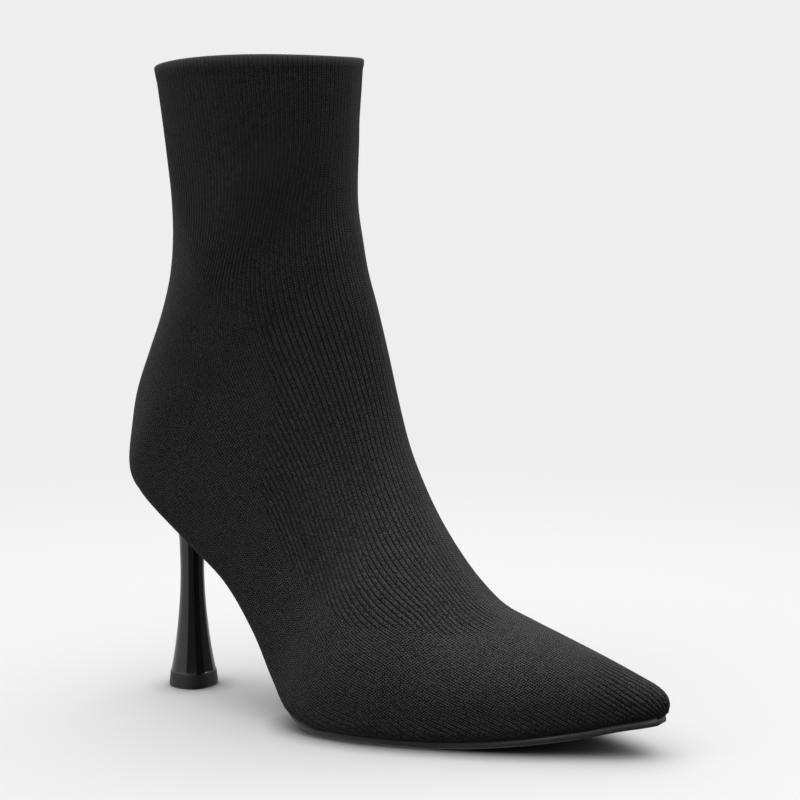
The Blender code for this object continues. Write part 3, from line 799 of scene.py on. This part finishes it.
heel = {
    "tipWidth": 0.0202,
    "waistWidth": 0.0097,
    "topLength": 0.0262,
    "topWidth": 0.0260,
    "breastSquare": 2.6, "breastDepth": 0.94,  # the front half's squareness, and its depth against the back's
    "curve": 2.6,             # how late the heel spreads under the seat
    "topCentre": -0.0010, "topFront": 0.38,  # the top's centre and the share of its length in front of it
    "tipHeight": 0.0058,
    "sides": 96,
    "steps": 6,
    "lowest": 0.870,          # width share where the tip piece meets it
    "rows": [(0.095, 0.775), (0.200, 0.490), (0.330, 0.240), (0.460, 0.070), (0.590, 0.000), (0.690, 0.030)],
    "flare": (0.25, 0.5, 0.7, 0.85, 0.95),
    "colour": (0.006, 0.006, 0.0065),
    "tipColour": (0.011, 0.011, 0.011),
}


def heelRing(height, width):  # round at the back, flatter at the breast
    angle = np.linspace(0, 2 * math.pi, heel["sides"], endpoint=False)
    c, s = np.cos(angle), np.sin(angle)
    power = np.where(c > 0, 2 / heel["breastSquare"], 1.0)
    out = np.sign(c) * np.abs(c) ** power * np.where(c > 0, heel["breastDepth"], 1.0)
    return np.stack([out * width / 2, np.sign(s) * np.abs(s) ** power * width / 2, np.full(len(c), height)], axis=1)


def heelCrown(share):  # follows the outsole under the seat
    v, s = heel, last
    angle = np.linspace(0, 2 * math.pi, v["sides"], endpoint=False)
    parts = np.where(np.cos(angle) > 0, v["topFront"], 1 - v["topFront"])
    x = v["topCentre"] + share * np.cos(angle) * v["topLength"] * parts
    y = share * np.sin(angle) * v["topWidth"] / 2
    dense = np.linspace(12.0, 16.5, 400)
    where = np.interp(-x, -stations(dense)[:, 0], dense)
    numbers = stations(where)
    run = numbers[:, 2:4] - numbers[:, 0:2]
    length = np.linalg.norm(run, axis=1)
    run /= length[:, None]
    half = np.where(y < 0, numbers[:, 4], numbers[:, 5])

    def heightAt(across):
        part = np.minimum(np.abs(across) / half, 1)
        return numbers[:, 6] * length * (1 - (1 - part ** numbers[:, 7]) ** (1 / numbers[:, 7]))

    tilt = (heightAt(np.abs(y) + 0.0001) - heightAt(np.abs(y))) / 0.0001
    up = heightAt(y)
    normal = underNormals(where)
    outward = (2 * s["gap"] + s["seatThickness"]) * np.hypot(1, tilt)
    return np.stack([numbers[:, 0] + run[:, 0] * up + normal[:, 0] * outward, y,
                     numbers[:, 1] + run[:, 1] * up + normal[:, 2] * outward], axis=1)


def smoothLoft(rings, steps):  # more rings on a smooth curve through the given ones
    rings = [np.asarray(r) for r in rings]
    made = []
    for k in range(len(rings) - 1):
        p0, p1 = rings[max(k - 1, 0)], rings[k]
        p2, p3 = rings[k + 1], rings[min(k + 2, len(rings) - 1)]
        for t in np.linspace(0, 1, steps, endpoint=False):
            made.append(0.5 * (2 * p1 + (p2 - p0) * t + (2 * p0 - 5 * p1 + 4 * p2 - p3) * t * t
                               + (3 * p1 - p0 - 3 * p2 + p3) * t ** 3))
    return made + [rings[-1]]


def lacquerMaterial():
    material, tree, shader = newMaterial("heelLacquer")
    coords = addNode(tree, "ShaderNodeTexCoord").outputs["Object"]
    ripple = noise(tree, coords, 120, 2, 0.4)
    dust = noise(tree, coords, 1500, 3, 0.6)
    feed(tree, shader.inputs["Base Color"], (*heel["colour"], 1))
    feed(tree, shader.inputs["Roughness"], ramp(tree, dust, 0.3, 0.8, 0.09, 0.15))
    feed(tree, shader.inputs["Specular IOR Level"], 0.5)
    feed(tree, shader.inputs["Coat Weight"], 0.6)
    feed(tree, shader.inputs["Coat Roughness"], 0.04)
    feed(tree, shader.inputs["Normal"], bump(tree, ripple, 0.00025, 0.12))
    return material


def buildHeel():
    v = heel
    spread = v["tipWidth"] - v["waistWidth"]
    base = v["tipHeight"] + last["gap"]
    lowest = v["waistWidth"] + v["lowest"] * spread
    rows = [heelRing(base, lowest)]
    rows += [heelRing(h * last["heelHeight"], v["waistWidth"] + w * spread) for h, w in v["rows"]]
    waist, crown = rows[-1], heelCrown(1.0)
    for share in v["flare"]:
        ring = waist + (crown - waist) * share ** v["curve"]
        ring[:, 2] = waist[:, 2] + (crown[:, 2] - waist[:, 2]) * share
        rows.append(ring)
    rows.append(crown)
    rings = smoothLoft(rows, v["steps"])
    foot = [heelRing(base, lowest * 0.5), heelRing(base, lowest - 0.0001)]
    foot += [heelRing(base + h, lowest) for h in (0.00008, 0.00016, 0.0003)]
    rings = foot + rings[1:] + [heelCrown(0.7), heelCrown(0.35)]
    made = closedLoft("heel.shown", rings, lacquerMaterial())
    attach(made, "root")
    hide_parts("heel")
    straight = [heelRing(h, v["tipWidth"] + (lowest - v["tipWidth"]) * h / v["tipHeight"])
                for h in np.linspace(0.0009, v["tipHeight"] - 0.0003, 5)]
    tipRings = [heelRing(h, v["tipWidth"] * share) for h, share in ((0.0, 0.5), (0.0, 0.93), (0.0003, 0.98))]
    tipRings += straight + [heelRing(base - 0.00005, lowest - 0.0002), heelRing(base - 0.00005, lowest * 0.5)]
    piece = closedLoft("heelTip.shown", tipRings, rubberMaterial("tipRubber", v["tipColour"], 0.55, 3000))
    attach(piece, "root")
    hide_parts("top_piece")


buildHeel()

studio = {
    "floorSize": 60.0,
    "floorColour": (0.665, 0.665, 0.665),
    "fadeCentre": (0.10, 0.0, 0.0), "fadeFrom": 0.16, "fadeTo": 0.75,
    "contact": 0.012, "contactDark": 0.8,  # reach and strength of the shade where the boot meets the floor
    "backdrop": (0.855, 0.855, 0.855),
    "zenith": 2.40,           # light from straight above
    "gather": 2.5,            # how closely it gathers overhead
    "horizon": 0.62,          # light from level, behind and to the left
    "dark": 0.10,             # light from level in front and to the right
    "darkAzimuth": -18.0,
    "darkEdge": 0.087, "darkSoft": 0.05,
    "lights": {               # place, target, width, height, watts
        "rimRight": ((0.95, 0.75, 0.75), (0.06, 0.0, 0.14), 0.5, 0.9, 4.8),
        "softTop": ((0.42, -0.30, 1.25), (0.10, 0.0, 0.08), 0.45, 0.45, 7.0),
    },
    "cameraPlace": (0.5283, -0.7123, 0.2250),
    "cameraTilt": 83.21, "cameraTurn": 30.95,  # degrees from looking straight down, and round from +Y
    "lens": 96.75, "sensor": 36,
    "spots": {                # place, target, cone in degrees, watts
        "vampGlow": ((0.40, -0.56, 0.85), (0.135, -0.006, 0.058), 4.8, 100.0),
    },
}


def buildStudio():
    v = studio
    size = v["floorSize"]
    corners = [(-size, -size, 0), (size, -size, 0), (size, size, 0), (-size, size, 0)]
    floor = meshObject("floor", corners, [(0, 1, 2, 3)])
    material, tree, shader = newMaterial("paleFloor")
    contact = addNode(tree, "ShaderNodeAmbientOcclusion")
    feed(tree, contact.inputs["Distance"], v["contact"])
    shadow = calc(tree, "POWER", contact.outputs["AO"], v["contactDark"])
    feed(tree, shader.inputs["Base Color"], blendColour(tree, shadow, (0.0, 0.0, 0.0), v["floorColour"]))
    feed(tree, shader.inputs["Roughness"], 1.0)
    feed(tree, shader.inputs["Specular IOR Level"], 0.0)
    # away from the boot the floor passes into the plain backdrop
    centred = addNode(tree, "ShaderNodeVectorMath", operation="DISTANCE")
    feed(tree, centred.inputs[0], addNode(tree, "ShaderNodeTexCoord").outputs["Object"])
    feed(tree, centred.inputs[1], v["fadeCentre"])
    glow = addNode(tree, "ShaderNodeEmission")
    feed(tree, glow.inputs["Color"], (*v["backdrop"], 1))
    both = addNode(tree, "ShaderNodeMixShader")
    feed(tree, both.inputs[0], ramp(tree, centred.outputs["Value"], v["fadeFrom"], v["fadeTo"]))
    tree.links.new(shader.outputs[0], both.inputs[1])
    tree.links.new(glow.outputs[0], both.inputs[2])
    tree.links.new(both.outputs[0], tree.nodes["Material Output"].inputs["Surface"])
    floor.data.materials.append(material)
    floor.visible_diffuse = False  # the world stands for the light that comes back from below
    floor.visible_glossy = False
    world = bpy.data.worlds.new("softWorld")
    world.use_nodes = True
    tree = world.node_tree
    background, output = tree.nodes["Background"], tree.nodes["World Output"]
    split = addNode(tree, "ShaderNodeSeparateXYZ")
    feed(tree, split.inputs[0], addNode(tree, "ShaderNodeTexCoord").outputs["Generated"])
    height = split.outputs["Z"]
    level = calc(tree, "SQRT", calc(tree, "SUBTRACT", 1.0, calc(tree, "MULTIPLY", height, height)))
    aim = math.radians(v["darkAzimuth"])
    across = calc(tree, "MULTIPLY", split.outputs["Y"], math.sin(aim))
    facing = calc(tree, "MULTIPLY_ADD", split.outputs["X"], math.cos(aim), across)
    turn = calc(tree, "DIVIDE", facing, calc(tree, "MAXIMUM", level, 0.01))
    dark = ramp(tree, turn, v["darkEdge"] - v["darkSoft"], v["darkEdge"] + v["darkSoft"])
    around = calc(tree, "MULTIPLY_ADD", dark, v["dark"] - v["horizon"], v["horizon"])
    rising = calc(tree, "POWER", calc(tree, "MAXIMUM", height, 0.0), v["gather"])
    sky = calc(tree, "MULTIPLY_ADD", rising, v["zenith"], around)
    feed(tree, background.inputs["Color"], (1, 1, 1, 1))
    feed(tree, background.inputs["Strength"], sky)
    seen = addNode(tree, "ShaderNodeBackground")
    feed(tree, seen.inputs["Color"], (*v["backdrop"], 1))
    mix = addNode(tree, "ShaderNodeMixShader")
    feed(tree, mix.inputs[0], addNode(tree, "ShaderNodeLightPath").outputs["Is Camera Ray"])
    tree.links.new(background.outputs[0], mix.inputs[1])
    tree.links.new(seen.outputs[0], mix.inputs[2])
    tree.links.new(mix.outputs[0], output.inputs["Surface"])
    bpy.context.scene.world = world
    bpy.context.scene.view_settings.view_transform = "Standard"
    shoe = bpy.data.collections.new("shoePieces")
    for item in bpy.context.scene.objects:
        if item.type == "MESH" and item != floor:
            shoe.objects.link(item)

    def addLight(light, place, target):
        lamp = bpy.data.objects.new(light.name, light)
        lamp.location = place
        direction = np.array(target) - np.array(place)
        lamp.rotation_euler = (math.acos(-direction[2] / np.linalg.norm(direction)), 0,
                               math.atan2(direction[1], direction[0]) - math.pi / 2)
        bpy.context.scene.collection.objects.link(lamp)
        lamp.light_linking.receiver_collection = shoe

    for name, (place, target, wide, tall, power) in v["lights"].items():
        light = bpy.data.lights.new(name, "AREA")
        light.shape, light.size, light.size_y, light.energy = "RECTANGLE", wide, tall, power
        addLight(light, place, target)
    for name, (place, target, cone, power) in v["spots"].items():
        light = bpy.data.lights.new(name, "SPOT")
        light.spot_size, light.spot_blend = math.radians(cone), 1.0
        light.shadow_soft_size, light.energy = 0.06, power
        addLight(light, place, target)
    camera = bpy.data.objects.new("camera", bpy.data.cameras.new("camera"))
    camera.location = v["cameraPlace"]
    camera.rotation_euler = (math.radians(v["cameraTilt"]), 0, math.radians(v["cameraTurn"]))
    camera.data.lens = v["lens"]
    camera.data.sensor_width = v["sensor"]
    camera.data.clip_start = 0.01
    bpy.context.scene.collection.objects.link(camera)
    bpy.context.scene.camera = camera


buildStudio()
report("studio")
